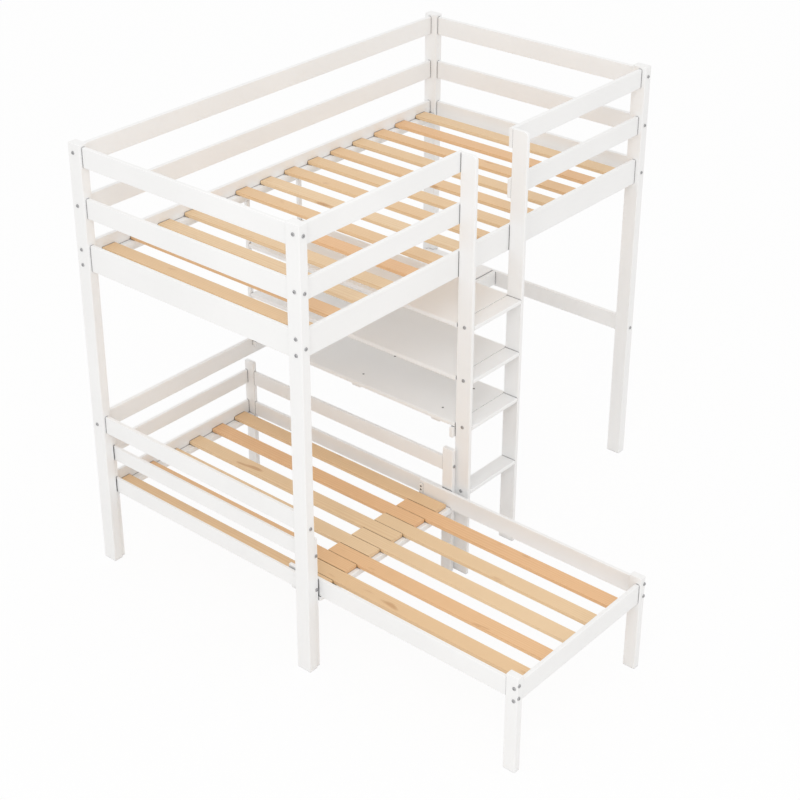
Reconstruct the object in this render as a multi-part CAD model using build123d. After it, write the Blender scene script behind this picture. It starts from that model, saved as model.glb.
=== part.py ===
from build123d import *
import os

# Loft bed with a ladder, shelves, a desk and a pull-out guest bed.
# Millimetres, +Z up, +X along the bed, +Y towards its back, floor at z = 0.
# Sizes are counted from the outer front left floor corner of the loft frame.
# At the end everything moves so that the origin is the middle of the whole bed's footprint.

# Loft frame: overall size and posts
bed_length = 1963.0
bed_width = 1088.0
post_height = 1717.0
post_x = 38.0
post_y = 60.0

# Rails: section, and how far they are set in from the outer faces of the posts
rail_thick = 16.0
long_rail_inset = 17.5
short_rail_inset = 11.0
guard_height = 75.0
bed_rail_height = 100.0
stretcher_height = 70.0
guard_top_z = 1632.0
guard_mid_z = 1440.5
bed_rail_z = 1237.5
stretcher_z = 570.5

# Upper slats and the cleats that carry them
upper_slat_count = 14
upper_slat_width = 62.0
upper_slat_thick = 15.0
first_slat_x = 84.5
last_slat_margin = 74.5
upper_slat_underside = 1284.0
upper_cleat_width = 22.0
upper_cleat_height = 20.0
slat_end_gap = 1.5

# Ladder
ladder_left = 817.5
ladder_width = 306.5
ladder_top = 1706.0
ladder_depth = 66.5
stile_thick = 15.0
stile_corner = 18.0
tread_thick = 16.0
tread_tops = [371.0, 646.0, 841.0, 1057.0]

# Shelf boards: the three upper treads and the boards share their heights
shelf_left = 812.0
shelf_width = 309.0
board_thick = 17.0
shelf_front_rail_overhang = 10.0
shelf_front_rail_height = 43.0
shelf_desk_rail_width = 36.0
shelf_desk_rail_height = 51.0
upright_width = 18.0
back_screw_bite = 30.0
batten_width = 20.0
batten_height = 20.0
stiffener_width = 40.0
stiffener_height = 18.0
stiffener_front_y = 121.0
stiffener_back_y = 514.0
shelf_screw_inset = 61.0
shelf_screw_bite = 14.0

# Desk
desk_rail_front_y = 688.0
desk_rail_thick = 18.0
desk_rail_height = 62.0
desk_rail_drop = 6.0
board_joint_gap = 0.5

# Guest bed, fixed part
guest_right = 808.0
guest_post_x = 18.0
guest_post_y = 48.0
guest_post_height = 540.0
guest_post_inset = 5.0
guest_rail_thick = 13.0
guest_rail_height = 61.5
guest_rail_z = 298.5
guest_guard_height = 60.0
guest_guard_z = 440.0
guest_slat_count = 6
guest_slat_width = 60.0
guest_slat_thick = 15.0
guest_slat_pitch = 125.5
guest_slats_middle_x = 420.0
guest_slat_underside = 303.0
guest_slat_front_y = 12.0
cross_member_front_y = -4.0
cross_member_depth = 46.0
cross_member_height = 24.0
guest_cleat_depth = 30.0
guest_cleat_height = 22.0
runner_height = 12.0
link_screw_heights = [150.0, 420.0]
guest_screw_offset = 15.0

# Guest bed, pull-out part
pullout_front_y = -847.0
leg_x = 28.0
leg_y = 48.0
leg_height = 385.0
leg_side_gap = 3.5
pullout_rail_thick = 13.0
pullout_rail_height = 72.0
pullout_rail_z = 296.0
pullout_rail_back_y = 148.0
end_rail_thick = 16.0
end_rail_inset = 6.0
end_rail_height = 78.0
end_rail_z = 281.0
inner_rail_thick = 18.0
inner_rail_height = 40.0
bracket_thick = 3.0
bracket_height = 96.0
bracket_foot = 30.0
bracket_foot_hole = 21.0
bracket_screw_pitch = 14.0
pullout_cleat_depth = 25.0
pullout_cleat_height = 20.0
pullout_slat_width = 61.0
pullout_slat_back_y = 149.0
slat_lane_drop = 0.5
slat_lane_depth = 1.0
slat_lane_margin = 1.5
running_gap = 0.3

# Wood edges
rail_round = 3.0
board_round = 4.0
slat_round = 2.0
batten_round = 1.5
post_round = 3.0
end_break = 1.5
edge_share = 0.45
end_break_share = 0.6

# Bolts, insert nuts and screws
bolt_d = 5.0
bolt_hole_d = 5.4
bolt_head_d = 13.0
bolt_head_h = 3.0
bolt_head_break = 0.8
insert_d = 9.0
insert_length = 18.0
insert_hole_d = 9.2
thread_gap = 0.1
batten_side_gap = 0.1
cross_offset = 2.7
long_bed_bolt_offset = 29.5
short_bed_bolt_rise = 45.5
guard_top_bolt_rise = 48.0
guard_mid_bolt_rise = 41.5
stretcher_bolt_rise = 29.0
end_rail_bolt_rise = 35.0
side_rail_bolt_rise = 34.0
leg_bolt_offset = 25.0
screw_d = 4.0
screw_head_d = 9.0
screw_head_h = 2.0
screw_bite = 24.0
ladder_bolt_setback = 33.0
ladder_bite = 40.0
ladder_screw_rise = 75.0
short_bite = 12.0
bracket_bite = 10.0
low_screw_rise = 9.0
end_screw_inset = 12.0
rail_fixing_inset = 12.0
cleat_screw_pitch = 340.0
cleat_screw_steps = [-2, -1, 0, 1, 2]
batten_screw_shares = [0.25, 0.75]
pullout_cleat_screw_shares = [0.15, 0.5, 0.85]
dowel_d = 6.0
dowel_half = 14.0
dowel_gap = 0.1

# Worked out from the sizes above
front_rail_y = long_rail_inset
back_rail_y = bed_width - long_rail_inset - rail_thick
left_rail_x = short_rail_inset
right_rail_x = bed_length - short_rail_inset - rail_thick
right_post_x = bed_length - post_x
back_post_y = bed_width - post_y
front_rail_inner_y = front_rail_y + rail_thick
long_back_y = back_rail_y + rail_thick / 2
ladder_right = ladder_left + ladder_width
ladder_front_y = front_rail_y - ladder_depth
gap_left_x = ladder_left + stile_thick
gap_right_x = ladder_right - stile_thick
shelf_right = shelf_left + shelf_width
board_top = tread_tops[1]
board_underside = board_top - board_thick
guest_left = post_x
guest_back_y = bed_width - guest_post_inset - guest_post_y
guest_left_inner = guest_left + guest_post_x
guest_right_inner = guest_right - guest_post_x
guest_rail_offset = (guest_post_x - guest_rail_thick) / 2
guest_back_rail_y = bed_width - guest_post_inset - guest_rail_thick - guest_rail_offset
leg_left = guest_left_inner + leg_side_gap
leg_right = guest_right_inner - leg_side_gap
pullout_slat_underside = guest_slat_underside - slat_lane_drop

upper_slat_run = bed_length - first_slat_x - last_slat_margin - upper_slat_width
upper_slat_pitch = upper_slat_run / (upper_slat_count - 1)

pieces = {}
groups = {}


def wood(x, y, z, dx, dy, dz, radius=rail_round, eased_ends=True):
    """A planed bar with rounded long edges, and a small chamfer round its ends where they are eased."""
    bar = Pos(x, y, z) * Box(dx, dy, dz, align=(Align.MIN, Align.MIN, Align.MIN))
    sizes = {Axis.X: dx, Axis.Y: dy, Axis.Z: dz}
    along = max(sizes, key=sizes.get)
    limit = edge_share * min(dx, dy, dz)
    bar = fillet(bar.edges().filter_by(along), min(radius, limit))
    if not eased_ends:
        return bar
    ends = bar.faces().filter_by(along).edges()
    return chamfer(ends, min(end_break, end_break_share * radius, limit))


def along_x(name, x0, x1, y, z, dy, dz, radius=rail_round, eased_ends=True):
    pieces[name] = wood(x0, y, z, x1 - x0, dy, dz, radius, eased_ends)


def along_y(name, y0, y1, x, z, dx, dz, radius=rail_round, eased_ends=True):
    pieces[name] = wood(x, y0, z, dx, y1 - y0, dz, radius, eased_ends)


def cleat_x(name, x0, x1, y, z, dy, dz):
    """A sawn carrier batten along X, its ends cut square."""
    along_x(name, x0, x1, y, z, dy, dz, batten_round, False)


def cleat_y(name, y0, y1, x, z, dx, dz):
    """A sawn carrier batten along Y, its ends cut square."""
    along_y(name, y0, y1, x, z, dx, dz, batten_round, False)


def rod(point, direction, radius, start, length):
    """A cylinder along direction, from start to start + length past the point."""
    plane = Plane(origin=point, z_dir=direction)
    return plane * Pos(0, 0, start) * Cylinder(radius, length, align=(Align.CENTER, Align.CENTER, Align.MIN))


def round_head(point, direction):
    """A low round bolt head that stands on the face at the point."""
    rim = bolt_head_d / 2
    base = rod(point, direction, rim, bolt_head_break - bolt_head_h, bolt_head_h - bolt_head_break)
    plane = Plane(origin=point, z_dir=direction)
    crown = Cone(rim - bolt_head_break, rim, bolt_head_break, align=(Align.CENTER, Align.CENTER, Align.MIN))
    return base + plane * Pos(0, 0, -bolt_head_h) * crown


def bolt_joint(bolts, nuts, outer, inner, point, direction, grip):
    """A bolt through outer, grip deep, into an insert nut in the end grain of inner."""
    shank = rod(point, direction, bolt_d / 2, -bolt_head_h / 2, grip + insert_length + bolt_head_h / 2)
    groups.setdefault(bolts, []).append(round_head(point, direction) + shank)
    nut = rod(point, direction, insert_d / 2, grip, insert_length)
    bore = rod(point, direction, bolt_d / 2 + thread_gap, grip - 1, insert_length + 2)
    groups.setdefault(nuts, []).append(nut - bore)
    pieces[outer] -= rod(point, direction, bolt_hole_d / 2, -1, grip + 2)
    pieces[inner] -= rod(point, direction, insert_hole_d / 2, -end_break, grip + insert_length + end_break)


def screw_joint(screws, outer, inner, point, direction, grip, bite):
    """A flush countersunk screw through outer into inner."""
    plane = Plane(origin=point, z_dir=direction)
    shank = rod(point, direction, screw_d / 2, 0, grip + bite)
    head = plane * Pos(0, 0, screw_head_h / 2) * Cone(screw_head_d / 2, screw_d / 2, screw_head_h)
    screw = shank + head
    groups.setdefault(screws, []).append(screw)
    pieces[outer] -= screw
    pieces[inner] -= shank


def across_screws(post_kind, bar, y, z):
    """Screws through the left and right guest posts into the ends of a bar between them."""
    for side, x, direction in (("left", guest_left, (1, 0, 0)), ("right", guest_right, (-1, 0, 0))):
        screw_joint("wood_screws", post_kind + side, bar, (x, y, z), direction, guest_post_x, screw_bite)


def dowel(first, second, point, direction):
    """A wooden dowel across the joint of two pieces."""
    groups.setdefault("dowels", []).append(rod(point, direction, dowel_d / 2, -dowel_half, 2 * dowel_half))
    reach = dowel_half + dowel_gap
    hole = rod(point, direction, dowel_d / 2 + dowel_gap, -reach, 2 * reach)
    pieces[first] -= hole
    pieces[second] -= hole


# Posts of the loft frame
for name, x, y in (("post_front_left", 0, 0), ("post_front_right", right_post_x, 0),
                   ("post_back_left", 0, back_post_y), ("post_back_right", right_post_x, back_post_y)):
    pieces[name] = wood(x, y, 0, post_x, post_y, post_height, post_round)

# Rails between the posts
long_rails = {"bed_rail": (bed_rail_z, bed_rail_height), "guard_top": (guard_top_z, guard_height),
              "guard_mid": (guard_mid_z, guard_height), "stretcher": (stretcher_z, stretcher_height)}
for kind, (z, height) in long_rails.items():
    along_x(kind + "_back", post_x, right_post_x, back_rail_y, z, rail_thick, height)
    along_y(kind + "_left", post_y, back_post_y, left_rail_x, z, rail_thick, height)
    along_y(kind + "_right", post_y, back_post_y, right_rail_x, z, rail_thick, height)
along_x("bed_rail_front", post_x, right_post_x, front_rail_y, bed_rail_z, rail_thick, bed_rail_height)
for kind, z in {"guard_top": guard_top_z, "guard_mid": guard_mid_z}.items():
    along_x(kind + "_front_left", post_x, gap_left_x, front_rail_y, z, rail_thick, guard_height)
    along_x(kind + "_front_right", gap_right_x, right_post_x, front_rail_y, z, rail_thick, guard_height)

# Bolts of the loft frame
long_bolt_y = long_rail_inset + rail_thick / 2
short_bolt_x = short_rail_inset + rail_thick / 2


def frame_bolt_x(side, row, rail, z):
    """A bolt along X through a post into the end of a long rail."""
    post = "post_" + row + "_" + side
    y = long_bolt_y if row == "front" else bed_width - long_bolt_y
    x = 0 if side == "left" else bed_length
    direction = (1, 0, 0) if side == "left" else (-1, 0, 0)
    bolt_joint("frame_bolts", "insert_nuts", post, rail, (x, y, z), direction, post_x)


def frame_bolt_y(side, row, rail, z):
    """A bolt along Y through a post into the end of a short rail."""
    post = "post_" + row + "_" + side
    x = short_bolt_x if side == "left" else bed_length - short_bolt_x
    y = 0 if row == "front" else bed_width
    direction = (0, 1, 0) if row == "front" else (0, -1, 0)
    bolt_joint("frame_bolts", "insert_nuts", post, rail, (x, y, z), direction, post_y)


guard_top_bolt_z = guard_top_z + guard_top_bolt_rise
guard_mid_bolt_z = guard_mid_z + guard_mid_bolt_rise
stretcher_bolt_z = stretcher_z + stretcher_bolt_rise
bed_bolt_z = bed_rail_z + bed_rail_height / 2
for side in ("left", "right"):
    for row in ("front", "back"):
        long_suffix = "_back" if row == "back" else "_front_" + side
        frame_bolt_x(side, row, "guard_top" + long_suffix, guard_top_bolt_z + cross_offset)
        frame_bolt_x(side, row, "guard_mid" + long_suffix, guard_mid_bolt_z + cross_offset)
        for step in (-1, 1):
            frame_bolt_x(side, row, "bed_rail_" + row, bed_bolt_z + step * long_bed_bolt_offset)
        frame_bolt_y(side, row, "guard_top_" + side, guard_top_bolt_z - cross_offset)
        frame_bolt_y(side, row, "guard_mid_" + side, guard_mid_bolt_z - cross_offset)
        frame_bolt_y(side, row, "bed_rail_" + side, bed_rail_z + short_bed_bolt_rise)
        frame_bolt_y(side, row, "stretcher_" + side, stretcher_bolt_z - cross_offset)
    frame_bolt_x(side, "back", "stretcher_back", stretcher_bolt_z + cross_offset)

# Cleats on the inner faces of the long bed rails, and the upper slats on them
cleat_z = upper_slat_underside - upper_cleat_height
cleat_screw_z = cleat_z + upper_cleat_height / 2
bed_middle_x = bed_length / 2
for row, y, screw_y, direction in (
        ("front", front_rail_inner_y, front_rail_inner_y + upper_cleat_width, (0, -1, 0)),
        ("back", back_rail_y - upper_cleat_width, back_rail_y - upper_cleat_width, (0, 1, 0))):
    cleat = "slat_cleat_" + row
    cleat_x(cleat, post_x, right_post_x, y, cleat_z, upper_cleat_width, upper_cleat_height)
    for step in cleat_screw_steps:
        screw_joint("wood_screws", cleat, "bed_rail_" + row,
                    (bed_middle_x + step * cleat_screw_pitch, screw_y, cleat_screw_z), direction,
                    upper_cleat_width, short_bite)
slat_y = front_rail_inner_y + slat_end_gap
slat_length = back_rail_y - front_rail_inner_y - 2 * slat_end_gap
groups["upper_slats"] = [wood(first_slat_x + step * upper_slat_pitch, slat_y, upper_slat_underside,
                              upper_slat_width, slat_length, upper_slat_thick, slat_round, False)
                         for step in range(upper_slat_count)]


def stile(x):
    """A ladder stile with a rounded top front corner."""
    bar = Pos(x, ladder_front_y, 0) * Box(stile_thick, ladder_depth, ladder_top,
                                          align=(Align.MIN, Align.MIN, Align.MIN))
    top_front = bar.edges().filter_by(Axis.X).group_by(Axis.Z)[-1].sort_by(Axis.Y)[0]
    bar = fillet(top_front, stile_corner)
    long_edges = bar.faces().filter_by(Axis.X).edges().filter_by(Axis.Z)
    return fillet(long_edges, rail_round)


# Ladder: two stiles, and treads between them
pieces["ladder_stile_left"] = stile(ladder_left)
pieces["ladder_stile_right"] = stile(gap_right_x)
tread_bolt_y = front_rail_y - ladder_bolt_setback
for number, top in enumerate(tread_tops, start=1):
    tread = "tread_" + str(number)
    along_x(tread, gap_left_x, gap_right_x, ladder_front_y, top - tread_thick,
            ladder_depth, tread_thick, board_round)
    middle = top - tread_thick / 2
    bolt_joint("frame_bolts", "insert_nuts", "ladder_stile_left", tread,
               (ladder_left, tread_bolt_y, middle), (1, 0, 0), stile_thick)
    bolt_joint("frame_bolts", "insert_nuts", "ladder_stile_right", tread,
               (ladder_right, tread_bolt_y, middle), (-1, 0, 0), stile_thick)

# Screws from the inner faces of the front rails into the stiles
stile_middles = {"left": ladder_left + stile_thick / 2, "right": ladder_right - stile_thick / 2}
for side, x in stile_middles.items():
    for rail, z in (("guard_top_front_" + side, guard_top_z + guard_height / 2),
                    ("guard_mid_front_" + side, guard_mid_z + guard_height / 2),
                    ("bed_rail_front", bed_rail_z + ladder_screw_rise)):
        screw_joint("wood_screws", rail, "ladder_stile_" + side, (x, front_rail_inner_y, z), (0, -1, 0),
                    rail_thick, ladder_bite)

# What carries the shelf boards: a front rail, a rail shared with the desk, and two back uprights
shelf_front_rail_z = board_underside - shelf_front_rail_height
along_x("shelf_front_rail", shelf_left - shelf_front_rail_overhang, shelf_right, front_rail_y,
        shelf_front_rail_z, rail_thick, shelf_front_rail_height)
for side, x in stile_middles.items():
    screw_joint("wood_screws", "shelf_front_rail", "ladder_stile_" + side,
                (x, front_rail_inner_y, board_underside - rail_fixing_inset), (0, -1, 0),
                rail_thick, ladder_bite)
desk_joint_x = shelf_right + board_joint_gap / 2
shelf_desk_rail_x = desk_joint_x - shelf_desk_rail_width / 2
desk_left_x = shelf_desk_rail_x + shelf_desk_rail_width
along_y("shelf_desk_rail", front_rail_inner_y, back_rail_y, shelf_desk_rail_x,
        board_underside - shelf_desk_rail_height, shelf_desk_rail_width, shelf_desk_rail_height)
low_dowel_z = shelf_front_rail_z + rail_fixing_inset
dowel("shelf_front_rail", "shelf_desk_rail", (desk_joint_x, front_rail_inner_y, low_dowel_z), (0, 1, 0))
dowel("stretcher_back", "shelf_desk_rail", (desk_joint_x, back_rail_y, low_dowel_z), (0, 1, 0))
upright_z = stretcher_z + stretcher_height
for side, x in (("left", shelf_left), ("right", shelf_right - upright_width)):
    upright = "shelf_upright_" + side
    pieces[upright] = wood(x, back_rail_y, upright_z, upright_width, rail_thick, bed_rail_z - upright_z)
    middle_x = x + upright_width / 2
    dowel("stretcher_back", upright, (middle_x, long_back_y, upright_z), (0, 0, 1))
    dowel("bed_rail_back", upright, (middle_x, long_back_y, bed_rail_z), (0, 0, 1))

# Shelf boards behind the ladder, level with its upper treads
board_tops = {"shelf_bottom": tread_tops[1], "shelf_middle": tread_tops[2], "shelf_top": tread_tops[3]}
right_dowel_x = (gap_right_x + shelf_right) / 2
for name, top in board_tops.items():
    along_y(name, front_rail_y, back_rail_y, shelf_left, top - board_thick,
            shelf_width, board_thick, board_round)
    middle = top - board_thick / 2
    dowel("ladder_stile_left", name, (stile_middles["left"], front_rail_y, middle), (0, 1, 0))
    dowel("ladder_stile_right", name, (right_dowel_x, front_rail_y, middle), (0, 1, 0))
    if name != "shelf_bottom":
        for side, x in (("left", shelf_left), ("right", shelf_right - upright_width)):
            screw_joint("wood_screws", "shelf_upright_" + side, name,
                        (x + upright_width / 2, back_rail_y + rail_thick, middle), (0, -1, 0),
                        rail_thick, back_screw_bite)

# Stiffeners under the bottom board, held by screws from above
for row, y in (("front", stiffener_front_y), ("back", stiffener_back_y)):
    stiffener = "stiffener_" + row
    cleat_x(stiffener, shelf_left + upright_width, shelf_desk_rail_x, y - stiffener_width / 2,
            board_underside - stiffener_height, stiffener_width, stiffener_height)
    for x in (shelf_left + shelf_screw_inset, shelf_right - shelf_screw_inset):
        screw_joint("wood_screws", "shelf_bottom", stiffener, (x, y, board_top), (0, 0, -1),
                    board_thick, shelf_screw_bite)

# Battens on the stretchers, under the back edges of the bottom board and the desk board
batten_z = board_underside - batten_height
batten_screw_z = batten_z + batten_height / 2
desk_board_y = desk_rail_front_y + desk_rail_thick
side_batten_x = right_rail_x - batten_width - batten_side_gap
cleat_x("batten_shelf", shelf_left, shelf_desk_rail_x, back_rail_y - batten_width, batten_z,
        batten_width, batten_height)
cleat_x("batten_desk_back", desk_left_x, side_batten_x, back_rail_y - batten_width, batten_z,
        batten_width, batten_height)
cleat_y("batten_desk_side", desk_board_y, back_post_y, side_batten_x, batten_z, batten_width, batten_height)
for batten, start, end in (("batten_shelf", shelf_left, shelf_desk_rail_x),
                           ("batten_desk_back", desk_left_x, side_batten_x)):
    for share in batten_screw_shares:
        screw_joint("wood_screws", batten, "stretcher_back",
                    (start + share * (end - start), back_rail_y - batten_width, batten_screw_z), (0, 1, 0),
                    batten_width, short_bite)
for share in batten_screw_shares:
    screw_joint("wood_screws", "batten_desk_side", "stretcher_right",
                (side_batten_x, desk_board_y + share * (back_post_y - desk_board_y), batten_screw_z),
                (1, 0, 0), batten_width + batten_side_gap, short_bite)

# Desk: board in the back right corner, cut round the post, and the rail under its front edge
desk_board_x = desk_joint_x + board_joint_gap / 2
desk_board = wood(desk_board_x, desk_board_y, board_underside, right_rail_x - desk_board_x,
                  back_rail_y - desk_board_y, board_thick, end_break)
post_notch = Pos(right_post_x - running_gap, back_post_y - running_gap, board_underside) * Box(
    post_x, post_y, board_thick, align=(Align.MIN, Align.MIN, Align.MIN))
pieces["desk_board"] = desk_board - post_notch
desk_rail_z = board_top - desk_rail_drop - desk_rail_height
along_x("desk_rail", desk_left_x, right_rail_x, desk_rail_front_y, desk_rail_z,
        desk_rail_thick, desk_rail_height)
desk_rail_middle_y = desk_rail_front_y + desk_rail_thick / 2
desk_rail_middle_z = desk_rail_z + desk_rail_height / 2
dowel("shelf_desk_rail", "desk_rail", (desk_left_x, desk_rail_middle_y, desk_rail_middle_z), (1, 0, 0))
dowel("stretcher_right", "desk_rail", (right_rail_x, desk_rail_middle_y, desk_rail_middle_z), (1, 0, 0))

# Guest bed, fixed part: four short posts, the left ones screwed to the posts of the loft
for name, x, y in (("guest_post_front_left", guest_left, guest_post_inset),
                   ("guest_post_front_right", guest_right_inner, guest_post_inset),
                   ("guest_post_back_left", guest_left, guest_back_y),
                   ("guest_post_back_right", guest_right_inner, guest_back_y)):
    pieces[name] = wood(x, y, 0, guest_post_x, guest_post_y, guest_post_height)
for row, y in (("front", guest_post_inset + guest_post_y / 2), ("back", guest_back_y + guest_post_y / 2)):
    for z in link_screw_heights:
        screw_joint("wood_screws", "guest_post_" + row + "_left", "post_" + row + "_left",
                    (guest_left_inner, y, z), (-1, 0, 0), guest_post_x, screw_bite)

# Guest bed, side rails and guard rails
guest_front_inner_y = guest_post_inset + guest_post_y
guest_sides = {"left": guest_left + guest_post_x / 2, "right": guest_right - guest_post_x / 2}
for kind, z, height in (("guest_rail_", guest_rail_z, guest_rail_height),
                        ("guest_guard_", guest_guard_z, guest_guard_height)):
    middle = z + height / 2
    for side, x in guest_sides.items():
        along_y(kind + side, guest_front_inner_y, guest_back_y, x - guest_rail_thick / 2, z,
                guest_rail_thick, height)
        bolt_joint("frame_bolts", "insert_nuts", "guest_post_front_" + side, kind + side,
                   (x, guest_post_inset, middle), (0, 1, 0), guest_post_y)
        bolt_joint("frame_bolts", "insert_nuts", "guest_post_back_" + side, kind + side,
                   (x, bed_width - guest_post_inset, middle), (0, -1, 0), guest_post_y)
    along_x(kind + "back", guest_left_inner, guest_right_inner, guest_back_rail_y, z,
            guest_rail_thick, height)
    for step in (-1, 1):
        across_screws("guest_post_back_", kind + "back", guest_back_rail_y + guest_rail_thick / 2,
                      middle + step * guest_screw_offset)

# Guest bed, front cross member: notched for the pull-out rails, with a lane under each pull-out slat
guest_run = (guest_slat_count - 1) * guest_slat_pitch + guest_slat_width
guest_slat_x = guest_slats_middle_x - guest_run / 2
pullout_slat_count = guest_slat_count - 1
pullout_run = (pullout_slat_count - 1) * guest_slat_pitch + pullout_slat_width
pullout_slat_x = guest_slats_middle_x - pullout_run / 2
passage_z = pullout_rail_z - running_gap
passage_width = leg_side_gap + pullout_rail_thick + running_gap
cross_member = wood(guest_left_inner, cross_member_front_y, guest_slat_underside - cross_member_height,
                    guest_right_inner - guest_left_inner, cross_member_depth, cross_member_height)
notches = [(guest_left_inner, passage_width, passage_z),
           (guest_right_inner - passage_width, passage_width, passage_z)]
for step in range(pullout_slat_count):
    notches.append((pullout_slat_x + step * guest_slat_pitch - slat_lane_margin,
                    pullout_slat_width + 2 * slat_lane_margin, guest_slat_underside - slat_lane_depth))
for x, width, z in notches:
    cross_member -= Pos(x, cross_member_front_y, z) * Box(width, cross_member_depth, cross_member_height,
                                                          align=(Align.MIN, Align.MIN, Align.MIN))
pieces["guest_cross_member"] = cross_member
cross_member_back_y = cross_member_front_y + cross_member_depth
across_screws("guest_post_front_", "guest_cross_member", guest_post_inset + end_screw_inset,
              guest_slat_underside - cross_member_height + low_screw_rise)

# Guest bed, back cleat and fixed slats
back_cleat_y = guest_back_rail_y - guest_cleat_depth
cleat_x("guest_back_cleat", guest_left_inner, guest_right_inner, back_cleat_y,
        guest_slat_underside - guest_cleat_height, guest_cleat_depth, guest_cleat_height)
across_screws("guest_post_back_", "guest_back_cleat", guest_back_rail_y - end_screw_inset / 2,
              guest_slat_underside - guest_cleat_height + low_screw_rise)
guest_slat_length = guest_back_rail_y - slat_end_gap - guest_slat_front_y
groups["guest_slats"] = [wood(guest_slat_x + step * guest_slat_pitch, guest_slat_front_y,
                              guest_slat_underside, guest_slat_width, guest_slat_length,
                              guest_slat_thick, slat_round, False)
                         for step in range(guest_slat_count)]

# Guest bed, runner battens on which the pull-out rails slide
runner_width = leg_side_gap + pullout_rail_thick - running_gap
runner_z = passage_z - runner_height
for side, x in (("left", guest_left_inner), ("right", guest_right_inner - runner_width)):
    runner = "runner_" + side
    cleat_y(runner, cross_member_back_y, back_cleat_y, x, runner_z, runner_width, runner_height)
    middle_x = x + runner_width / 2
    for bar, y in (("guest_cross_member", cross_member_back_y), ("guest_back_cleat", back_cleat_y)):
        dowel(bar, runner, (middle_x, y, runner_z + runner_height / 2), (0, 1, 0))

# Guest bed, pull-out part: legs, side rails, end rail and the cleat on it
leg_back_y = pullout_front_y + leg_y
end_rail_y = pullout_front_y + end_rail_inset
end_rail_inner_y = end_rail_y + end_rail_thick
end_bolt_y = end_rail_y + end_rail_thick / 2
side_bolt_z = pullout_rail_z + side_rail_bolt_rise
end_bolt_z = end_rail_z + end_rail_bolt_rise
along_x("pullout_end_rail", leg_left + leg_x, leg_right - leg_x, end_rail_y, end_rail_z,
        end_rail_thick, end_rail_height)
for side, leg_start, rail_start, outer_x, direction in (
        ("left", leg_left, leg_left, leg_left, (1, 0, 0)),
        ("right", leg_right - leg_x, leg_right - pullout_rail_thick, leg_right, (-1, 0, 0))):
    leg = "pullout_leg_" + side
    rail = "pullout_rail_" + side
    pieces[leg] = wood(leg_start, pullout_front_y, 0, leg_x, leg_y, leg_height)
    along_y(rail, leg_back_y, pullout_rail_back_y, rail_start, pullout_rail_z,
            pullout_rail_thick, pullout_rail_height)
    for step in (-1, 1):
        bolt_joint("pullout_bolts", "pullout_nuts", leg, "pullout_end_rail",
                   (outer_x, end_bolt_y, end_bolt_z + step * leg_bolt_offset), direction, leg_x)
        bolt_joint("pullout_bolts", "pullout_nuts", leg, rail,
                   (rail_start + pullout_rail_thick / 2, pullout_front_y,
                    side_bolt_z + step * leg_bolt_offset), (0, 1, 0), leg_y)
cleat_x("pullout_cleat", leg_left + leg_x, leg_right - leg_x, end_rail_inner_y,
        pullout_slat_underside - pullout_cleat_height, pullout_cleat_depth, pullout_cleat_height)
for share in pullout_cleat_screw_shares:
    screw_joint("pullout_screws", "pullout_cleat", "pullout_end_rail",
                (leg_left + share * (leg_right - leg_left), end_rail_inner_y + pullout_cleat_depth,
                 pullout_slat_underside - pullout_cleat_height / 2), (0, -1, 0),
                pullout_cleat_depth, short_bite)

# Guest bed, pull-out part: inner rail on two steel brackets
inner_rail_y = pullout_rail_back_y - inner_rail_thick
inner_rail_z = pullout_slat_underside - inner_rail_height
inner_middle_y = inner_rail_y + inner_rail_thick / 2
plate_left = leg_left + pullout_rail_thick
plate_right = leg_right - pullout_rail_thick
along_x("pullout_inner_rail", plate_left + bracket_thick, plate_right - bracket_thick, inner_rail_y,
        inner_rail_z, inner_rail_thick, inner_rail_height)
for side, plate_x, foot_x, face_x, hole_x, direction in (
        ("left", plate_left, plate_left, plate_left + bracket_thick,
         plate_left + bracket_foot_hole, (-1, 0, 0)),
        ("right", plate_right - bracket_thick, plate_right - bracket_foot, plate_right - bracket_thick,
         plate_right - bracket_foot_hole, (1, 0, 0))):
    bracket = "bracket_" + side
    foot_z = inner_rail_z - bracket_thick
    plate = Pos(plate_x, inner_rail_y, foot_z) * Box(bracket_thick, inner_rail_thick, bracket_height,
                                                     align=(Align.MIN, Align.MIN, Align.MIN))
    foot = Pos(foot_x, inner_rail_y, foot_z) * Box(bracket_foot, inner_rail_thick, bracket_thick,
                                                   align=(Align.MIN, Align.MIN, Align.MIN))
    pieces[bracket] = plate + foot
    for step in (1, 2):
        screw_joint("pullout_screws", bracket, "pullout_rail_" + side,
                    (face_x, inner_middle_y, foot_z + bracket_height - step * bracket_screw_pitch),
                    direction, bracket_thick, bracket_bite)
    screw_joint("pullout_screws", bracket, "pullout_inner_rail", (hole_x, inner_middle_y, foot_z), (0, 0, 1),
                bracket_thick, screw_bite)

# Guest bed, pull-out slats
pullout_slat_y = end_rail_inner_y + slat_end_gap
pullout_slat_length = pullout_slat_back_y - pullout_slat_y
groups["pullout_slats"] = [wood(pullout_slat_x + step * guest_slat_pitch, pullout_slat_y,
                                pullout_slat_underside, pullout_slat_width, pullout_slat_length,
                                guest_slat_thick, slat_round, False)
                           for step in range(pullout_slat_count)]

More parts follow.
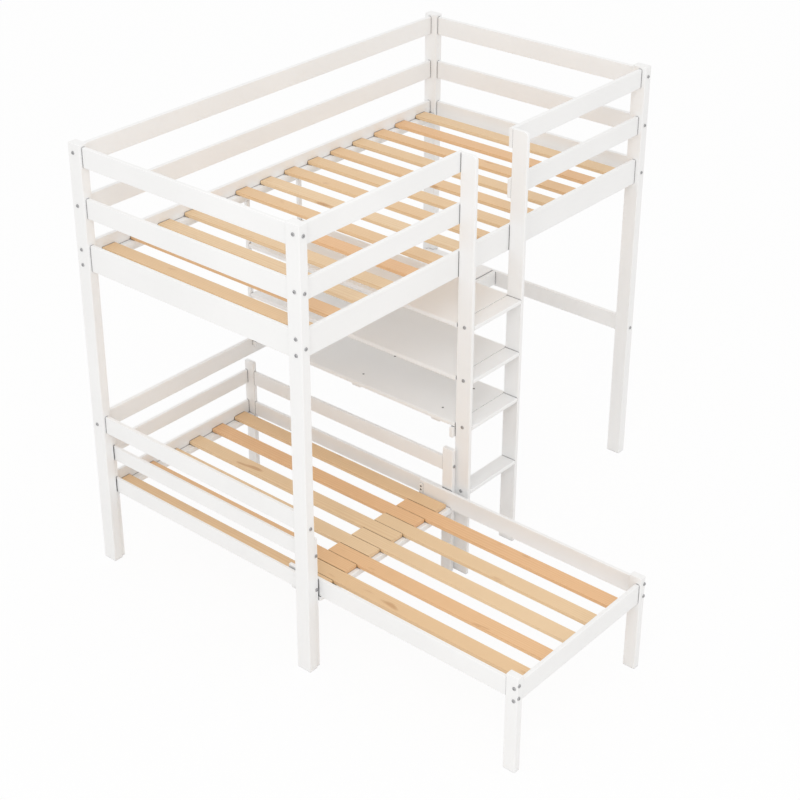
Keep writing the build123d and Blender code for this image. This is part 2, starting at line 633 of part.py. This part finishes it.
# Pieces that come as sets of the same bar share a node
shared_nodes = {
    "slat_cleats": ["slat_cleat_front", "slat_cleat_back"],
    "ladder_treads": ["tread_1", "tread_2", "tread_3", "tread_4"],
    "shelf_uprights": ["shelf_upright_left", "shelf_upright_right"],
    "board_battens": ["stiffener_front", "stiffener_back", "batten_shelf", "batten_desk_back",
                      "batten_desk_side"],
    "guest_side_rails": ["guest_rail_left", "guest_rail_right"],
    "guest_side_guards": ["guest_guard_left", "guest_guard_right"],
    "guest_cleats": ["guest_back_cleat", "runner_left", "runner_right"],
    "pullout_legs": ["pullout_leg_left", "pullout_leg_right"],
    "pullout_side_rails": ["pullout_rail_left", "pullout_rail_right"],
    "inner_rail_brackets": ["bracket_left", "bracket_right"],
}
for node, members in shared_nodes.items():
    groups[node] = [pieces.pop(member) for member in members]

# Every piece and group moves to the common origin and gets its own file
body_front_y = pullout_front_y - bolt_head_h
body_back_y = bed_width + bolt_head_h
to_origin = Pos(-bed_length / 2, -(body_front_y + body_back_y) / 2, 0)
os.makedirs("parts", exist_ok=True)
for name, solid in pieces.items():
    export_step(to_origin * solid, "parts/" + name + ".step")
for name, solids in groups.items():
    export_step(to_origin * Compound(children=solids), "parts/" + name + ".step")
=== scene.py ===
import math

import bmesh
import bpy
from bpy.props import FloatProperty, FloatVectorProperty, PointerProperty
from mathutils import Matrix, Vector


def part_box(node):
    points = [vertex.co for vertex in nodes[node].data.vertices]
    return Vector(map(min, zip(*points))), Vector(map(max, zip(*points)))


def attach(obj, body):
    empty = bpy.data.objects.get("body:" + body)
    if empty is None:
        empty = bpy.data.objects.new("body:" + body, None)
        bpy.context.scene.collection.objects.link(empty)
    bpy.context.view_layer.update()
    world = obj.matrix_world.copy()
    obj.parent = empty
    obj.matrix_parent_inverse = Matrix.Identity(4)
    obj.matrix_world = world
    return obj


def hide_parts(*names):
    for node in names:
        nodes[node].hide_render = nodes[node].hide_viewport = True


bl_info = {
    "name": "Loft bed with guest bed and desk",
    "version": (1, 0, 0),
    "blender": (4, 5, 0),
    "location": "View3D > Sidebar > Loft Bed",
    "description": "Dresses the frame of a loft bed: painted wood, pine slats, bolt heads, stage and light",
    "category": "Object",
}

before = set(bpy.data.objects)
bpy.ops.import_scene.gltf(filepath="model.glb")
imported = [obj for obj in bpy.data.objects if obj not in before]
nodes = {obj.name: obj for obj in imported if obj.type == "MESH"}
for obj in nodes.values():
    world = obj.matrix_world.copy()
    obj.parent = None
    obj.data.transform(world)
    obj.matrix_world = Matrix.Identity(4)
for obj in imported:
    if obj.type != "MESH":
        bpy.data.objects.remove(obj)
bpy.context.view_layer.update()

SLAT_COUNTS = {"upper_slats": 14, "guest_slats": 6, "pullout_slats": 5}
SLAT_NODES = tuple(SLAT_COUNTS)
BOLT_NODES = ("frame_bolts", "pullout_bolts")
SCREW_NODES = ("wood_screws", "pullout_screws")
ZINC_NODES = ("insert_nuts", "pullout_nuts")
DOWEL_NODES = ("dowels",)
START_OBJECTS = ("Cube", "Light", "Camera")

# Painted shade: dark lines in the joints, from the occlusion within a short reach
JOINT_SAMPLES = 8
JOINT_REACH = 0.008
JOINT_DARK = 0.28
JOINT_CLEAR = 0.78

# Painted wood: grain in noise cells per metre, and the spread of tone and gloss
GRAIN_ACROSS = 90.0
GRAIN_ALONG = 2.5
PATCH_SCALE = 3.0
PATCH_SHADE = 0.975
PATCH_START = 0.35
PATCH_END = 0.65
GLOSSIER = 0.05
DULLER = 0.08

# Pine: noise cells per metre along X, Y and Z, and the strength of each layer
PINE_DRIFT = (9.0, 0.6, 9.0)
PINE_FIBRE = (420.0, 9.0, 420.0)
PINE_KNOTS = (36.0, 9.0, 36.0)
DRIFT_RINGS = 9
RING_TILT = 0.6
RING_STRENGTH = 0.42
FIBRE_STRENGTH = 0.22
FIBRE_HEIGHT = 0.0001
KNOT_START = 0.775
KNOT_END = 0.87
KNOT_STRENGTH = 0.6
PINE_ROUGHNESS = 0.46
SLAT_SHARE = 0.5
SLAT_TONES = [
    (0.0, (1.02, 0.89, 0.8)),
    (0.4, (1.0, 0.95, 0.9)),
    (0.7, (1.0, 1.03, 1.05)),
    (1.0, (1.04, 1.12, 1.22)),
]

# Steel and beech
WEAR_SCALE = 260.0
WEAR_HEIGHT = 0.00005
WORN_SHADE = 0.85
METALLIC = 0.7
SCREW_ROUGHNESS = 0.45
BOLT_ROUGHNESS = 0.4
ZINC_ROUGHNESS = 0.35
BEECH_FLECKS = (300.0, 300.0, 60.0)
BEECH_DARK = (0.55, 0.36, 0.2)
BEECH_LIGHT = (0.72, 0.52, 0.33)
BEECH_ROUGHNESS = 0.7
FLECK_HEIGHT = 0.0001

# Bolts: counts of sides, and shares of the head's height and the shank's diameter
MERGE_DISTANCE = 1e-6
HEAD_SIDES = 24
SHANK_SIDES = 12
SOCKET_SIDES = 6
RIM_SHARE = 0.35
RIM_STEPS = 3
SOCKET_DEPTH_SHARE = 0.75
SHANK_DIAMETERS = 4
TOP_FACING = 0.9

# Stage, in metres
VIEW_END = 60.0
ROOM_COLOR = (1.0, 0.99, 0.978, 1.0)
WHITE = (1.0, 1.0, 1.0, 1.0)
KEY_PLACE = (-4.5, -3.0, 5.5)
KEY_AIM = (0.0, 0.0, 0.8)
KEY_SIZE = 3.0
FLOOR_HALF = 20.0
FLOOR_COLOR = (0.9, 0.9, 0.9, 1.0)
FLOOR_ROUGHNESS = 0.9
FLOOR_GLOW = 0.93


class PaintSettings(bpy.types.PropertyGroup):
    """The white paint of the frame, boards and ladder."""
    color: FloatVectorProperty(name="Paint", description="Colour of the satin paint", subtype="COLOR",
                               size=3, min=0, max=1, default=(0.91, 0.912, 0.912))
    # Colour of the painted shade deep in the joints between pieces
    painted_shade_in_joints: FloatVectorProperty(name="Joint lines", description="Colour deep in the joints between pieces",
                                subtype="COLOR", size=3, min=0, max=1, default=(0.16, 0.16, 0.17))
    roughness: FloatProperty(name="Roughness", description="How matt the paint is", subtype="FACTOR",
                             min=0, max=1, default=0.42)
    brush: FloatProperty(name="Brush marks", description="Height of the grain under the paint",
                         unit="LENGTH", min=0, max=0.001, default=0.00012)


class PineSettings(bpy.types.PropertyGroup):
    """The natural pine of the slats."""
    light: FloatVectorProperty(name="Early wood", description="Colour between the growth rings",
                               subtype="COLOR", size=3, min=0, max=1, default=(0.84, 0.61, 0.37))
    dark: FloatVectorProperty(name="Late wood", description="Colour of the growth rings",
                              subtype="COLOR", size=3, min=0, max=1, default=(0.70, 0.43, 0.22))
    knot: FloatVectorProperty(name="Knots", description="Colour of the knots", subtype="COLOR",
                              size=3, min=0, max=1, default=(0.5, 0.25, 0.1))
    # Colour of the painted shade deep in the joints between slats
    gap: FloatVectorProperty(name="Joint lines", description="Colour deep in the joints between slats",
                             subtype="COLOR", size=3, min=0, max=1, default=(0.2, 0.1, 0.04))
    ring: FloatProperty(name="Ring width", description="Distance between growth rings", unit="LENGTH",
                        min=0.001, max=0.05, default=0.009)


class MetalSettings(bpy.types.PropertyGroup):
    """Bolts, screws and nuts."""
    dark: FloatVectorProperty(name="Dark steel", description="Colour of the screw heads",
                              subtype="COLOR", size=3, min=0, max=1, default=(0.20, 0.20, 0.21))
    bolt: FloatVectorProperty(name="Bolts", description="Colour of the bolt heads", subtype="COLOR",
                              size=3, min=0, max=1, default=(0.5, 0.5, 0.51))
    head: FloatProperty(name="Head", description="Diameter of a bolt head", unit="LENGTH", default=0.013)
    head_height: FloatProperty(name="Head height", description="Height of a bolt head", unit="LENGTH",
                               default=0.003)
    socket: FloatProperty(name="Socket", description="Width of the hexagon socket over its corners",
                          unit="LENGTH", default=0.006)
    shank: FloatProperty(name="Shank", description="Diameter of the bolt shank", unit="LENGTH",
                         default=0.005)
    zinc: FloatVectorProperty(name="Zinc", description="Colour of the insert nuts",
                              subtype="COLOR", size=3, min=0, max=1, default=(0.62, 0.62, 0.64))


class StageSettings(bpy.types.PropertyGroup):
    """Camera, light and floor."""
    eye: FloatVectorProperty(name="Camera", description="Where the camera stands", subtype="TRANSLATION",
                             unit="LENGTH", size=3, default=(-4.438, -3.4457, 3.8699))
    yaw: FloatProperty(name="Yaw", description="Heading of the view, from +X towards +Y", unit="ROTATION",
                       default=math.radians(41.545))
    pitch: FloatProperty(name="Pitch", description="How far the view looks down", unit="ROTATION",
                         default=math.radians(27.327))
    roll: FloatProperty(name="Roll", description="Turn of the picture", unit="ROTATION",
                        default=math.radians(-0.439))
    lens: FloatProperty(name="Lens", description="Focal length in millimetres on a 36 mm sensor",
                        min=10, max=400, default=77.33)
    shift_x: FloatProperty(name="Shift X", description="Sideways shift of the picture", default=0.0455)
    shift_y: FloatProperty(name="Shift Y", description="Upward shift of the picture", default=-0.1)
    key_power: FloatProperty(name="Key light", description="Power of the large lamp", unit="POWER",
                             min=0, default=90)
    sky: FloatProperty(name="Room light", description="Strength of the even light from all round",
                       min=0, max=2, default=0.9)


class Nodes:
    """Adds shader nodes to a new material and links them, with few words."""

    def __init__(self, name):
        self.material = bpy.data.materials.new(name)
        self.material.use_nodes = True
        self.tree = self.material.node_tree
        self.shader = self.tree.nodes["Principled BSDF"]

    def add(self, kind, **settings):
        node = self.tree.nodes.new(kind)
        for key, value in settings.items():
            setattr(node, key, value)
        return node

    def link(self, source, target):
        self.tree.links.new(source, target)

    def mapping(self, scale=(1, 1, 1)):
        """Object coordinates, stretched by the scale."""
        mapping = self.add("ShaderNodeMapping")
        mapping.inputs["Scale"].default_value = scale
        source = self.add("ShaderNodeTexCoord")
        self.link(source.outputs["Object"], mapping.inputs["Vector"])
        return mapping.outputs["Vector"]

    def noise(self, vector, scale, detail=2.0, roughness=0.5):
        noise = self.add("ShaderNodeTexNoise")
        noise.inputs["Scale"].default_value = scale
        noise.inputs["Detail"].default_value = detail
        noise.inputs["Roughness"].default_value = roughness
        self.link(vector, noise.inputs["Vector"])
        return noise.outputs["Fac"]

    def math(self, operation, first, second):
        node = self.add("ShaderNodeMath", operation=operation)
        for socket, value in zip(node.inputs, (first, second)):
            if isinstance(value, (int, float)):
                socket.default_value = value
            else:
                self.link(value, socket)
        return node.outputs["Value"]

    def ramp(self, factor, stops):
        """A colour ramp: stops is a list of (position, colour)."""
        node = self.add("ShaderNodeValToRGB")
        ramp = node.color_ramp
        while len(ramp.elements) < len(stops):
            ramp.elements.new(1.0)
        for element, (position, color) in zip(ramp.elements, stops):
            element.position = position
            element.color = (*color, 1.0)
        self.link(factor, node.inputs["Fac"])
        return node.outputs["Color"]

    def mix(self, factor, first, second, blend="MIX"):
        node = self.add("ShaderNodeMix", data_type="RGBA", blend_type=blend)
        sockets = (node.inputs[0], node.inputs[6], node.inputs[7])
        for socket, value in zip(sockets, (factor, first, second)):
            if isinstance(value, (int, float)):
                socket.default_value = value
            elif isinstance(value, tuple):
                socket.default_value = (*value, 1.0)
            else:
                self.link(value, socket)
        return node.outputs[2]

    def joint_shade(self):
        """Painted shade: from 0 deep in a joint to 1 on an open face."""
        node = self.add("ShaderNodeAmbientOcclusion", samples=JOINT_SAMPLES)
        node.inputs["Distance"].default_value = JOINT_REACH
        reach = self.add("ShaderNodeMapRange")
        reach.inputs["From Min"].default_value = JOINT_DARK
        reach.inputs["From Max"].default_value = JOINT_CLEAR
        self.link(node.outputs["AO"], reach.inputs["Value"])
        return reach.outputs["Result"]

    def bump(self, height, distance):
        """Raises the surface by up to the distance where the height is 1."""
        node = self.add("ShaderNodeBump")
        node.inputs["Distance"].default_value = distance
        self.link(height, node.inputs["Height"])
        self.link(node.outputs["Normal"], self.shader.inputs["Normal"])


def dress(obj, material):
    """Gives the whole object one material."""
    obj.data.materials.clear()
    obj.data.materials.append(material)


def painted_wood(name, along):
    """Satin white paint on planed pine, with the grain along the given axis faintly raised, and painted
    shade in the joints.
    """
    settings = bpy.context.scene.bed_paint
    made = Nodes(name)
    stretch = [GRAIN_ACROSS] * 3
    stretch["XYZ".index(along)] = GRAIN_ALONG
    grain = made.noise(made.mapping(stretch), scale=1.0, detail=5.0, roughness=0.6)
    patches = made.noise(made.mapping(), scale=PATCH_SCALE)
    base = tuple(settings.color)
    shade = tuple(c * PATCH_SHADE for c in base)
    toned = made.ramp(patches, [(PATCH_START, shade), (PATCH_END, base)])
    # Painted shade: the paint darkens towards the joint colour where the occlusion is deep
    made.link(made.mix(made.joint_shade(), tuple(settings.painted_shade_in_joints), toned), made.shader.inputs["Base Color"])
    gloss = made.add("ShaderNodeMapRange")
    gloss.inputs["To Min"].default_value = settings.roughness - GLOSSIER
    gloss.inputs["To Max"].default_value = settings.roughness + DULLER
    made.link(grain, gloss.inputs["Value"])
    made.link(gloss.outputs["Result"], made.shader.inputs["Roughness"])
    made.bump(grain, settings.brush)
    return made.material


def pine(name):
    """Clear lacquered pine with its grain along Y; each slat has its own tone, rings and a few knots, and
    painted shade in the joints.
    """
    settings = bpy.context.scene.bed_pine
    made = Nodes("pine_" + name)
    low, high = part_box(name)
    cell = (high.x - low.x) / (SLAT_COUNTS[name] - SLAT_SHARE)
    first_cell = low.x - cell * (1 - SLAT_SHARE) / 2
    light, dark = tuple(settings.light), tuple(settings.dark)
    drift = made.noise(made.mapping(PINE_DRIFT), scale=1.0)
    across = made.add("ShaderNodeSeparateXYZ")
    made.link(made.mapping(), across.inputs["Vector"])
    wander = made.math("MULTIPLY", drift, settings.ring * DRIFT_RINGS)
    rings = made.math("ADD", across.outputs["X"], wander)
    rings = made.math("ADD", rings, made.math("MULTIPLY", across.outputs["Z"], RING_TILT))
    rings = made.math("SINE", made.math("MULTIPLY", rings, 2 * math.pi / settings.ring), 0.0)
    rings = made.math("MULTIPLY", made.math("ADD", rings, 1.0), 0.5)
    wood = made.mix(made.math("MULTIPLY", rings, RING_STRENGTH), light, dark)
    number = made.math("DIVIDE", made.math("SUBTRACT", across.outputs["X"], first_cell), cell)
    chance = made.add("ShaderNodeTexWhiteNoise", noise_dimensions="1D")
    made.link(made.math("FLOOR", number, 0.0), chance.inputs["W"])
    tone = made.ramp(chance.outputs["Value"], SLAT_TONES)
    wood = made.mix(1.0, wood, tone, "MULTIPLY")
    fibre = made.noise(made.mapping(PINE_FIBRE), scale=1.0, detail=3.0)
    wood = made.mix(made.math("MULTIPLY", fibre, FIBRE_STRENGTH), wood, dark)
    spot = made.noise(made.mapping(PINE_KNOTS), scale=1.0, detail=0.0)
    knots = made.ramp(spot, [(KNOT_START, (0.0,) * 3), (KNOT_END, (KNOT_STRENGTH,) * 3)])
    wood = made.mix(knots, wood, tuple(settings.knot))
    # Painted shade: the pine darkens towards the joint colour where the occlusion is deep
    wood = made.mix(made.joint_shade(), tuple(settings.gap), wood)
    made.link(wood, made.shader.inputs["Base Color"])
    made.shader.inputs["Roughness"].default_value = PINE_ROUGHNESS
    made.bump(fibre, FIBRE_HEIGHT)
    return made.material


def metal(name, color, roughness):
    """Plated or blackened steel with fine uneven polish."""
    made = Nodes(name)
    wear = made.noise(made.mapping(), scale=WEAR_SCALE, detail=3.0)
    worn = tuple(c * WORN_SHADE for c in color)
    made.link(made.ramp(wear, [(0.3, worn), (0.7, color)]), made.shader.inputs["Base Color"])
    made.shader.inputs["Metallic"].default_value = METALLIC
    made.shader.inputs["Roughness"].default_value = roughness
    made.bump(wear, WEAR_HEIGHT)
    return made.material


def beech():
    """Raw beech with short flecks."""
    made = Nodes("beech")
    flecks = made.noise(made.mapping(BEECH_FLECKS), scale=1.0)
    tone = made.ramp(flecks, [(0.35, BEECH_DARK), (0.65, BEECH_LIGHT)])
    made.link(tone, made.shader.inputs["Base Color"])
    made.shader.inputs["Roughness"].default_value = BEECH_ROUGHNESS
    made.bump(flecks, FLECK_HEIGHT)
    return made.material


class BED_OT_paint(bpy.types.Operator):
    """Paints the frame, guard rails, ladder, boards and guest bed"""
    bl_idname = "bed.paint"
    bl_label = "Painted wood"

    def execute(self, context):
        paints = {along: painted_wood("paint_" + along.lower(), along) for along in "XYZ"}
        bare = SLAT_NODES + BOLT_NODES + SCREW_NODES + ZINC_NODES + DOWEL_NODES
        for name, obj in nodes.items():
            if name in bare:
                continue
            low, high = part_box(name)
            size = high - low
            along = "Z" if "stile" in name or "leg" in name else "XYZ"[list(size).index(max(size))]
            along = "X" if name == "ladder_treads" else along
            dress(obj, paints[along])
        return {"FINISHED"}


class BED_OT_slats(bpy.types.Operator):
    """Gives the slats their pine"""
    bl_idname = "bed.slats"
    bl_label = "Pine slats"

    def execute(self, context):
        for name in SLAT_NODES:
            dress(nodes[name], pine(name))
        return {"FINISHED"}


class BED_OT_hardware(bpy.types.Operator):
    """Finishes the screws, nuts and dowels, and the plain bolts that the next step replaces"""
    bl_idname = "bed.hardware"
    bl_label = "Hardware"

    def execute(self, context):
        settings = context.scene.bed_metal
        dark = metal("dark_steel", tuple(settings.dark), SCREW_ROUGHNESS)
        zinc = metal("zinc_steel", tuple(settings.zinc), ZINC_ROUGHNESS)
        wood = beech()
        for names, material in ((BOLT_NODES + SCREW_NODES, dark), (ZINC_NODES, zinc), (DOWEL_NODES, wood)):
            for name in names:
                dress(nodes[name], material)
        return {"FINISHED"}


def bolt_places(name):
    """For each bolt of a CAD node: the outer end of its head, and the direction that the head faces."""
    mesh = bmesh.new()
    mesh.from_mesh(nodes[name].data)
    bmesh.ops.remove_doubles(mesh, verts=mesh.verts, dist=MERGE_DISTANCE)
    left = set(mesh.verts)
    places = []
    while left:
        island, edge = set(), [left.pop()]
        while edge:
            vert = edge.pop()
            island.add(vert)
            edge += [v for e in vert.link_edges for v in e.verts if v in left]
            left.difference_update(edge)
        points = [v.co for v in island]
        low = Vector(min(p[i] for p in points) for i in range(3))
        high = Vector(max(p[i] for p in points) for i in range(3))
        middle = (low + high) / 2
        axis = max(range(3), key=lambda i: high[i] - low[i])
        widest = max(points, key=lambda p: (p - middle)[(axis + 1) % 3])
        facing = 1 if widest[axis] > middle[axis] else -1
        direction = Vector((0, 0, 0))
        direction[axis] = facing
        end = middle.copy()
        end[axis] = high[axis] if facing > 0 else low[axis]
        places.append((end, direction))
    mesh.free()
    return places


def add_bolt(mesh, place, direction, settings):
    """One bolt with a low round head, a rounded rim and a hexagon socket, and its shank behind it."""
    turn = direction.to_track_quat("Z", "Y").to_matrix().to_4x4()
    at = Matrix.Translation(place) @ turn
    height = settings.head_height
    head = bmesh.ops.create_cone(mesh, cap_ends=True, segments=HEAD_SIDES, radius1=settings.head / 2,
                                 radius2=settings.head / 2, depth=height,
                                 matrix=at @ Matrix.Translation((0, 0, -height / 2)))
    faces = {f for v in head["verts"] for f in v.link_faces}
    outward = [f for f in faces if f.normal.dot(direction) > TOP_FACING]
    rim = [e for f in outward for e in f.edges]
    made = bmesh.ops.bevel(mesh, geom=rim, offset=height * RIM_SHARE, affect="EDGES", segments=RIM_STEPS,
                           profile=0.5, material=-1)
    top = max(made["faces"], key=lambda f: f.calc_center_median().dot(direction))
    cap = max({f for v in top.verts for f in v.link_faces}, key=lambda f: len(f.verts))
    bmesh.ops.delete(mesh, geom=[cap], context="FACES_ONLY")
    edges = [e for e in mesh.edges if e.is_boundary]
    socket = bmesh.ops.create_circle(mesh, cap_ends=False, segments=SOCKET_SIDES,
                                     radius=settings.socket / 2, matrix=at)
    hexagon = list({e for v in socket["verts"] for e in v.link_edges})
    bmesh.ops.triangle_fill(mesh, edges=edges + hexagon, use_beauty=True)
    deep = bmesh.ops.extrude_edge_only(mesh, edges=hexagon)
    floor_verts = [v for v in deep["geom"] if isinstance(v, bmesh.types.BMVert)]
    bmesh.ops.translate(mesh, verts=floor_verts, vec=-direction * height * SOCKET_DEPTH_SHARE)
    bmesh.ops.contextual_create(mesh, geom=floor_verts)
    length = settings.shank * SHANK_DIAMETERS
    bmesh.ops.create_cone(mesh, cap_ends=True, segments=SHANK_SIDES, radius1=settings.shank / 2,
                          radius2=settings.shank / 2, depth=length,
                          matrix=at @ Matrix.Translation((0, 0, -height - length / 2)))


class BED_OT_bolts(bpy.types.Operator):
    """Makes the bolts with their hexagon sockets in place of the plain ones"""
    bl_idname = "bed.bolts"
    bl_label = "Bolts"

    def execute(self, context):
        settings = context.scene.bed_metal
        steel = metal("bolt_steel", tuple(settings.bolt), BOLT_ROUGHNESS)
        for name, body in (("frame_bolts", "frame"), ("pullout_bolts", "pullout")):
            mesh = bmesh.new()
            for place, direction in bolt_places(name):
                add_bolt(mesh, place, direction, settings)
            bmesh.ops.recalc_face_normals(mesh, faces=mesh.faces)
            data = bpy.data.meshes.new(name + "_dressed")
            mesh.to_mesh(data)
            mesh.free()
            bolts = bpy.data.objects.new(name + "_dressed", data)
            context.scene.collection.objects.link(bolts)
            dress(bolts, steel)
            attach(bolts, body)
            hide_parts(name)
        return {"FINISHED"}


class BED_OT_stage(bpy.types.Operator):
    """Sets the camera, the key light, the room light and the floor"""
    bl_idname = "bed.stage"
    bl_label = "Stage"

    def execute(self, context):
        settings = context.scene.bed_stage
        scene = context.scene
        scene.view_settings.view_transform = "Standard"
        camera = bpy.data.objects.new("camera", bpy.data.cameras.new("camera"))
        scene.collection.objects.link(camera)
        camera.data.lens = settings.lens
        camera.data.shift_x = settings.shift_x
        camera.data.shift_y = settings.shift_y
        camera.data.clip_end = VIEW_END
        turn = Matrix.Rotation(settings.yaw - math.pi / 2, 4, "Z")
        tilt = Matrix.Rotation(math.pi / 2 - settings.pitch, 4, "X")
        roll = Matrix.Rotation(settings.roll, 4, "Z")
        camera.matrix_world = Matrix.Translation(settings.eye) @ turn @ tilt @ roll
        scene.camera = camera
        self.room(scene, settings.sky)
        self.lamp(scene, settings.key_power)
        self.floor(scene)
        return {"FINISHED"}

    def room(self, scene, strength):
        """Even light from all round, white where the camera or a reflection sees it."""
        world = bpy.data.worlds.new("room")
        scene.world = world
        world.use_nodes = True
        tree = world.node_tree
        background = tree.nodes["Background"]
        background.inputs["Color"].default_value = ROOM_COLOR
        background.inputs["Strength"].default_value = strength
        white = tree.nodes.new("ShaderNodeBackground")
        white.inputs["Color"].default_value = WHITE
        path = tree.nodes.new("ShaderNodeLightPath")
        seen = tree.nodes.new("ShaderNodeMath")
        seen.operation = "MAXIMUM"
        tree.links.new(path.outputs["Is Camera Ray"], seen.inputs[0])
        tree.links.new(path.outputs["Is Glossy Ray"], seen.inputs[1])
        mix = tree.nodes.new("ShaderNodeMixShader")
        tree.links.new(seen.outputs[0], mix.inputs[0])
        tree.links.new(background.outputs[0], mix.inputs[1])
        tree.links.new(white.outputs[0], mix.inputs[2])
        tree.links.new(mix.outputs[0], tree.nodes["World Output"].inputs["Surface"])

    def lamp(self, scene, power):
        """A large soft lamp that faces the middle of the bed."""
        data = bpy.data.lights.new("key", "AREA")
        data.energy = power
        data.size = KEY_SIZE
        lamp = bpy.data.objects.new("key", data)
        lamp.location = KEY_PLACE
        aim = Vector(KEY_AIM) - Vector(KEY_PLACE)
        lamp.rotation_euler = aim.to_track_quat("-Z", "Y").to_euler()
        scene.collection.objects.link(lamp)

    def floor(self, scene):
        """A pale floor that is white to the camera and keeps a soft shadow."""
        mesh = bmesh.new()
        bmesh.ops.create_grid(mesh, x_segments=1, y_segments=1, size=FLOOR_HALF)
        data = bpy.data.meshes.new("floor")
        mesh.to_mesh(data)
        mesh.free()
        floor = bpy.data.objects.new("floor", data)
        scene.collection.objects.link(floor)
        made = Nodes("floor")
        made.shader.inputs["Base Color"].default_value = FLOOR_COLOR
        made.shader.inputs["Roughness"].default_value = FLOOR_ROUGHNESS
        glow = made.add("ShaderNodeEmission")
        share = made.math("MULTIPLY", made.add("ShaderNodeLightPath").outputs["Is Camera Ray"], FLOOR_GLOW)
        mix = made.add("ShaderNodeMixShader")
        made.link(share, mix.inputs[0])
        made.link(made.shader.outputs[0], mix.inputs[1])
        made.link(glow.outputs[0], mix.inputs[2])
        made.link(mix.outputs[0], made.tree.nodes["Material Output"].inputs["Surface"])
        dress(floor, made.material)


class BED_PT_panel(bpy.types.Panel):
    """Lists the steps and their settings"""
    bl_idname = "BED_PT_panel"
    bl_label = "Loft Bed"
    bl_space_type = "VIEW_3D"
    bl_region_type = "UI"
    bl_category = "Loft Bed"

    def draw(self, context):
        for operator, group in STEPS:
            self.layout.operator(operator.bl_idname)
            settings = getattr(context.scene, group)
            for key in settings.bl_rna.properties.keys():
                if key not in ("rna_type", "name"):
                    self.layout.prop(settings, key)


GROUPS = {"bed_paint": PaintSettings, "bed_pine": PineSettings, "bed_metal": MetalSettings,
          "bed_stage": StageSettings}
STEPS = ((BED_OT_paint, "bed_paint"), (BED_OT_slats, "bed_pine"), (BED_OT_hardware, "bed_metal"),
         (BED_OT_bolts, "bed_metal"), (BED_OT_stage, "bed_stage"))
CLASSES = (*GROUPS.values(), BED_OT_paint, BED_OT_slats, BED_OT_hardware, BED_OT_bolts, BED_OT_stage,
           BED_PT_panel)


def register():
    for item in CLASSES:
        bpy.utils.register_class(item)
    for name, group in GROUPS.items():
        setattr(bpy.types.Scene, name, PointerProperty(type=group))


def unregister():
    for name in GROUPS:
        delattr(bpy.types.Scene, name)
    for item in reversed(CLASSES):
        bpy.utils.unregister_class(item)


def main():
    register()
    for name in START_OBJECTS:
        if name in bpy.data.objects:
            bpy.data.objects.remove(bpy.data.objects[name])
    bpy.ops.bed.paint()
    bpy.ops.bed.slats()
    bpy.ops.bed.hardware()
    bpy.ops.bed.bolts()
    bpy.ops.bed.stage()


if __name__ == "__main__":
    main()
